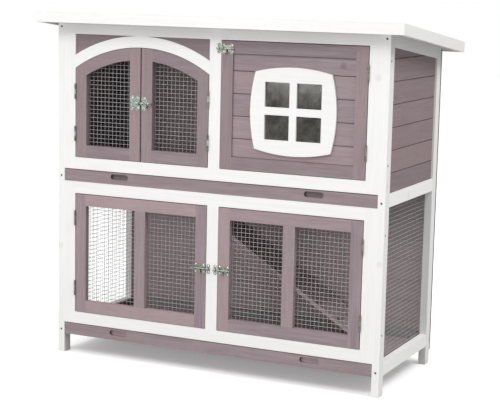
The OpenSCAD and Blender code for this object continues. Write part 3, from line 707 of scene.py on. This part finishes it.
# Knots that show on the outside: where they sit and how big they are
KNOTS = {
    "leg_front_left": (((-0.522, FRONT_Y, 0.336), 0.0075),),
    "leg_front_right": (((0.520, FRONT_Y, 0.382), 0.0065), ((SIDE_X, FRONT_Y + 0.012, 0.60), 0.004)),
    "upper_stiles": (((0.4975, FRONT_Y, 0.8985), 0.007),),
    "side_rails_right": (((SIDE_X, -0.037, 0.553), 0.007),),
    "window_door_boards": (((0.392, FRONT_Y + 0.005, 0.9265), 0.007),),
}


def dress_timber():
    for node, (along, seed) in PAINTED.items():
        # Painted light or shade for the pieces listed, 1 for the rest
        brightness = PAINT_LIGHT_AND_SHADE.get(node, 1.0)
        dress(node, painted_wood("paint_" + node, along, seed, knots=KNOTS.get(node, ()), brightness=brightness),
              PAINTED_ARRIS)
    # Each brightness here holds painted light or shade as well as the stain's own tone
    for node, (along, seed, brightness) in STAINED.items():
        low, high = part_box(node)
        boards = ONE_PIECE
        # Tray fronts get a dark line along their top edge: painted shade of the gap under the rail above
        if node.endswith("tray_front"):
            boards = (high.z, WHOLE_BOARD)
        elif node == "back_panel":
            boards = (low.z, BOARD_PITCH)
        dress(node, stained_wood("stain_" + node, along, seed, boards=boards, brightness=brightness,
                                 painted_front_light=PAINTED_FRONT_LIGHT.get(node, 0.0)), STAINED_ARRIS)
    for node, (seed, middle, brightness) in DOORS.items():
        # The window and lower doors get a dark line along their top edge: painted shade of the gap above them
        boards = ONE_PIECE if node.startswith("arch") else (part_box(node)[1].z, WHOLE_BOARD)
        dress(node, stained_wood("stain_" + node, ALONG_X, seed, boards=boards, door=node, middle=middle,
                                 brightness=brightness), DOOR_ARRIS)
    cladding = (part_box("side_boards_right")[0].z - SIDE_BOARD_DROP, BOARD_PITCH)
    # The side boards are drawn a little darker to match how bright they look: partly the stain's own tone,
    # partly painted shade
    for node, seed in (("side_boards_left", 71), ("side_boards_right", 83)):
        dress(node, stained_wood("stain_" + node, ALONG_Y, seed, boards=cladding, brightness=0.92), BOARD_ARRIS)
    node = "window_door_boards"
    boards = (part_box(node)[0].z - WINDOW_BOARD_DROP, WINDOW_BOARD_PITCH)
    # The window boards are drawn lighter to match how bright they look: partly the stain's own tone, partly
    # painted light
    dress(node, stained_wood("stain_" + node, ALONG_X, 95, boards=boards, brightness=1.18, knots=KNOTS[node]),
          BOARD_ARRIS)


def dress_metal():
    bolts = zinc_plate()
    for node in ("bolt_keeps", "ramp_rod", "ramp_brackets", "arch_bolt", "window_bolt", "window_door_metal",
                 "lower_left_bolt", "lower_left_metal", "lower_right_bolt", "lower_right_metal"):
        dress(node, bolts, METAL_ARRIS)
    latch = zinc_plate("latch_plate", (0.62, 0.74, 0.67), 0.22, 0.4)
    for node in ("arch_left_metal", "arch_right_metal"):
        dress(node, latch, METAL_ARRIS)
    dress("frame_hinges", zinc_plate("hinge_steel", (0.34, 0.33, 0.28), 0.3, 0.5), HINGE_ARRIS)


def hang_wire():
    """Welded wire on every mesh panel; the two upper ones follow the arch."""
    wire = galvanised_wire()
    low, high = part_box("arch_board")
    middle = Vector(((low.x + high.x) / 2, 0, high.z - ARCH_RADIUS))
    arch = (middle, ARCH_RADIUS - ARCH_BOARD_WIDTH - WIRE_EDGE)
    for side in ("left", "right"):
        welded_panel(f"arch_{side}_mesh", f"arch_door_{side}", wire, arch)
    for side in ("left", "right"):
        welded_panel(f"lower_{side}_mesh", f"lower_door_{side}", wire)
    for side in ("left", "right"):
        welded_panel(f"side_mesh_{side}", "hutch_body", wire)


def body_screws(material):
    """Screws through the front and side faces, where the CAD has plain heads."""
    bm = bmesh.new()
    x = (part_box("leg_front_right")[0].x + SIDE_X) / 2
    for side in (-1, 1):
        for z in FRONT_SCREW_HEIGHTS:
            cross_head(bm, (side * x, FRONT_Y, z), (0, -1, 0), 0.0032, 0.001, z * 5)
        for z in SIDE_SCREW_HEIGHTS:
            cross_head(bm, (side * SIDE_X, FRONT_Y + SIDE_SCREW_BACK, z), (side, 0, 0), 0.0028, 0.001, z * 7)
    piece = finish_piece(bm, "body_screws", material, "hutch_body")
    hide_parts("frame_screws")


def plate_screws(name, body, material, bolt, tip, offsets):
    """Cross-head screws on a fitting, placed from the tip of its bolt bar."""
    low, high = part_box(bolt)
    height = high.z - BOLT_RADIUS
    start = low.x if tip == "left" else high.x
    bm = bmesh.new()
    for across, up in offsets:
        place = (start + across, FRONT_Y - PLATE_THICK, height + up)
        cross_head(bm, place, (0, -1, 0), 0.0034, 0.0013, 90 * across + 40 * up)
    finish_piece(bm, name, material, body)


def fitting_screws(material):
    """Four screws in each bolt plate, two in each keep and six in the latch of the arched doors."""
    plate = [(x, z) for x in (0.0088, 0.0348) for z in (-0.010, 0.010)]
    keep = [(-0.0064, z) for z in (-0.010, 0.010)]
    for side, body, bolt, tip, sign in (("window", "window_door", "window_bolt", "left", 1),
                                        ("lower_right", "lower_door_right", "lower_right_bolt", "left", 1),
                                        ("lower_left", "lower_door_left", "lower_left_bolt", "right", -1)):
        on_plate = [(sign * x, z) for x, z in plate]
        on_keep = [(sign * x, z) for x, z in keep]
        plate_screws(side + "_plate_screws", body, material, bolt, tip, on_plate)
        plate_screws(side + "_keep_screws", "hutch_body", material, bolt, tip, on_keep)
    keep_side = [(x, z) for x in (-0.029, -0.011) for z in (-0.015, 0.015)]
    plate_screws("latch_keep_screws", "arch_door_left", material, "arch_bolt", "left", keep_side)
    bar_side = [(0.012, z) for z in (-0.015, 0.015)]
    plate_screws("latch_bar_screws", "arch_door_right", material, "arch_bolt", "left", bar_side)


make_camera()
light_studio()
make_floor()
dress_timber()
dress_metal()
hang_wire()
body_screws(zinc_plate("dull_screw", (0.16, 0.16, 0.15), 0.35, 0.5))
fitting_screws(zinc_plate("bright_screw", (0.86, 0.86, 0.82), 0.12, 0.25))
dress("roof_felt", roofing_felt())
dress("window_pane", clear_sheet())
